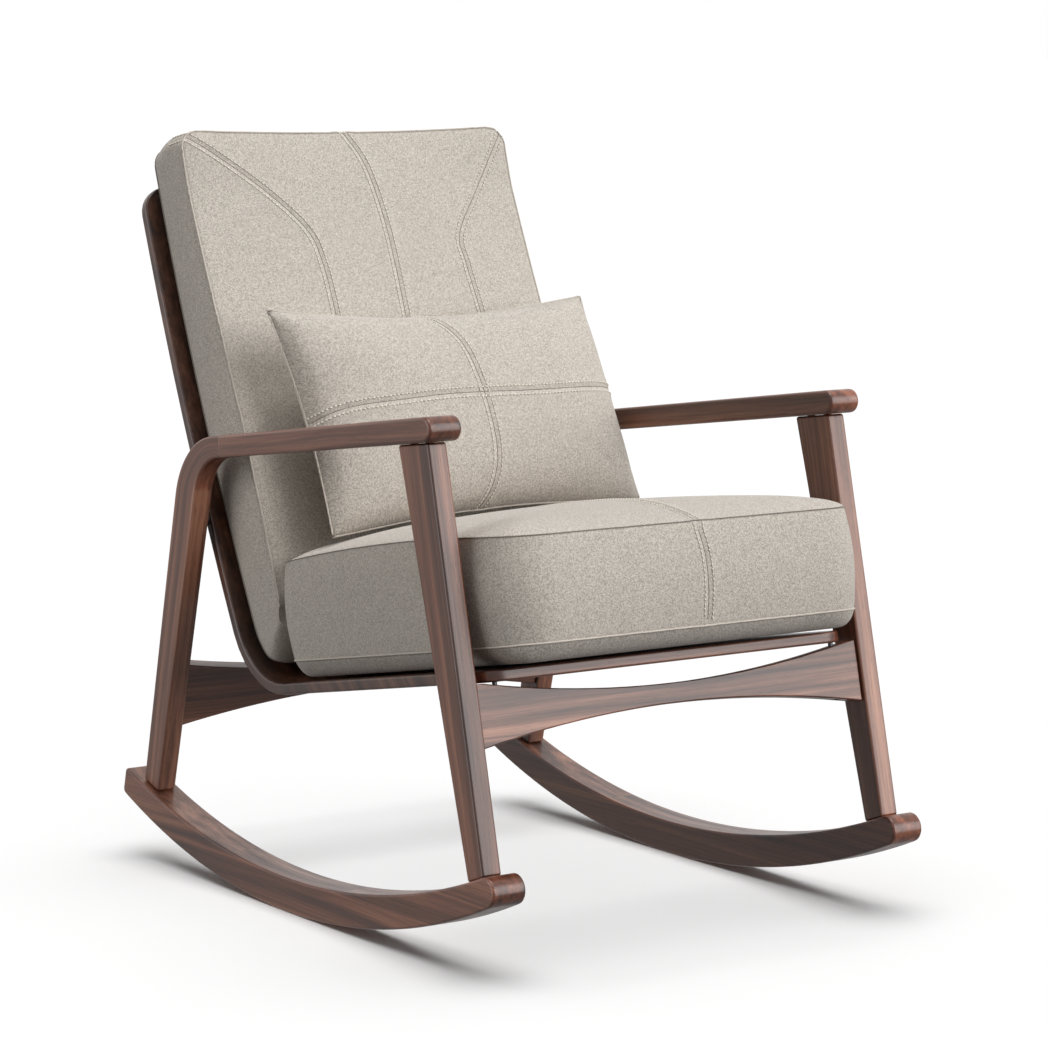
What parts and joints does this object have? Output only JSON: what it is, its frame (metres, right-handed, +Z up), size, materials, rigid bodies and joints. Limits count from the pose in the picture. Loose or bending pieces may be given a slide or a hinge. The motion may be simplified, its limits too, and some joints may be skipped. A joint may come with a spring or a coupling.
{
  "type": "rocking chair",
  "caption": "Rocking chair with walnut side frames on curved rockers, a bent plywood seat shell, loose seat and back cushions and a lumbar pillow.",
  "frame": {"origin": "on the floor, below the middle of the chair's box", "axes": "+Z up, the chair faces -Y, +X across to the sitter's left"},
  "size_m": [0.627, 0.8945, 0.9438],
  "materials": {
    "walnut": "satin lacquered dark walnut",
    "seat_plywood": "satin lacquered walnut veneer on bent plywood",
    "cushion_fabric": "greige tweed weave with double topstitched seams",
    "pillow_fabric": "greige tweed weave with double topstitched seams",
    "beech_dowel": "plain beech, glued",
    "steel_fixing": "blackened steel",
    "brass_insert": "turned brass",
    "nylon_spacer": "black nylon"
  },
  "bodies": {
    "frame": {"armrest_left": "walnut", "armrest_right": "walnut", "dowel_arm_front_left_a": "beech_dowel", "dowel_arm_front_left_b": "beech_dowel", "dowel_arm_front_right_a": "beech_dowel", "dowel_arm_front_right_b": "beech_dowel", "dowel_arm_rear_left_a": "beech_dowel", "dowel_arm_rear_left_b": "beech_dowel", "dowel_arm_rear_right_a": "beech_dowel", "dowel_arm_rear_right_b": "beech_dowel", "dowel_front_foot_left_a": "beech_dowel", "dowel_front_foot_left_b": "beech_dowel", "dowel_front_foot_right_a": "beech_dowel", "dowel_front_foot_right_b": "beech_dowel", "dowel_front_rail_left_a": "beech_dowel", "dowel_front_rail_left_b": "beech_dowel", "dowel_front_rail_right_a": "beech_dowel", "dowel_front_rail_right_b": "beech_dowel", "dowel_rear_foot_left_a": "beech_dowel", "dowel_rear_foot_left_b": "beech_dowel", "dowel_rear_foot_right_a": "beech_dowel", "dowel_rear_foot_right_b": "beech_dowel", "dowel_rear_rail_left_a": "beech_dowel", "dowel_rear_rail_left_b": "beech_dowel", "dowel_rear_rail_right_a": "beech_dowel", "dowel_rear_rail_right_b": "beech_dowel", "front_leg_left": "walnut", "front_leg_right": "walnut", "front_stretcher": "walnut", "rear_leg_left": "walnut", "rear_leg_right": "walnut", "rear_stretcher": "walnut", "rocker_left": "walnut", "rocker_right": "walnut", "seat_shell": "seat_plywood", "shell_bolt_left": "steel_fixing", "shell_bolt_right": "steel_fixing", "shell_pin_left": "steel_fixing", "shell_pin_right": "steel_fixing", "shell_spacer_left": "nylon_spacer", "shell_spacer_right": "nylon_spacer", "threaded_insert_left": "brass_insert", "threaded_insert_right": "brass_insert"},
    "seat_cushion": {"seat_cushion": "cushion_fabric"},
    "back_cushion": {"back_cushion": "cushion_fabric"},
    "lumbar_pillow": {"lumbar_pillow": "pillow_fabric"}
  },
  "joints": [
    {"name": "seat_cushion_slide", "type": "slide", "parent": "frame", "child": "seat_cushion", "axis": [0, -0.9848, 0.1736], "range_m": [0, 0.6]},
    {"name": "back_cushion_lift", "type": "slide", "parent": "frame", "child": "back_cushion", "axis": [0, 0.309, 0.9511], "range_m": [0, 0.7]},
    {"name": "pillow_lift", "type": "slide", "parent": "back_cushion", "child": "lumbar_pillow", "axis": [0, -0.5, 0.866], "range_m": [0, 0.6]}
  ]
}
